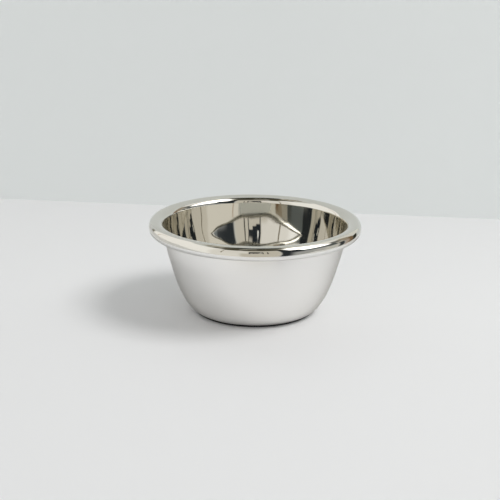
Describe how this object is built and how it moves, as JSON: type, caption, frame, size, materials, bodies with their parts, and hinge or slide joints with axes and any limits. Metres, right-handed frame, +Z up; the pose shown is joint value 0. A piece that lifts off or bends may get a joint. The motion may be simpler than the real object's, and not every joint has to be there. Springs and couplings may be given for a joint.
{
  "type": "shaving bowl",
  "caption": "Pressed steel shaving bowl, mirror-polished inside and over its curled rim, satin outside, on a thin black non-slip pad.",
  "frame": {"origin": "centre of the pad's underside, on the surface that the bowl stands on", "axes": "+Z up along the bowl's axis of revolution; +X to the right and +Y away from the front view"},
  "size_m": [0.12, 0.12, 0.053],
  "materials": {
    "bowl_steel": "stainless steel, mirror-polished inside and over the curled rim, fine satin on the outer wall and base",
    "pad_rubber": "matt black non-slip rubber",
    "adhesive_film": "thin double-sided adhesive film"
  },
  "bodies": {
    "root": {"bowl": "bowl_steel", "base_pad": "pad_rubber", "pad_adhesive": "adhesive_film"}
  },
  "joints": []
}
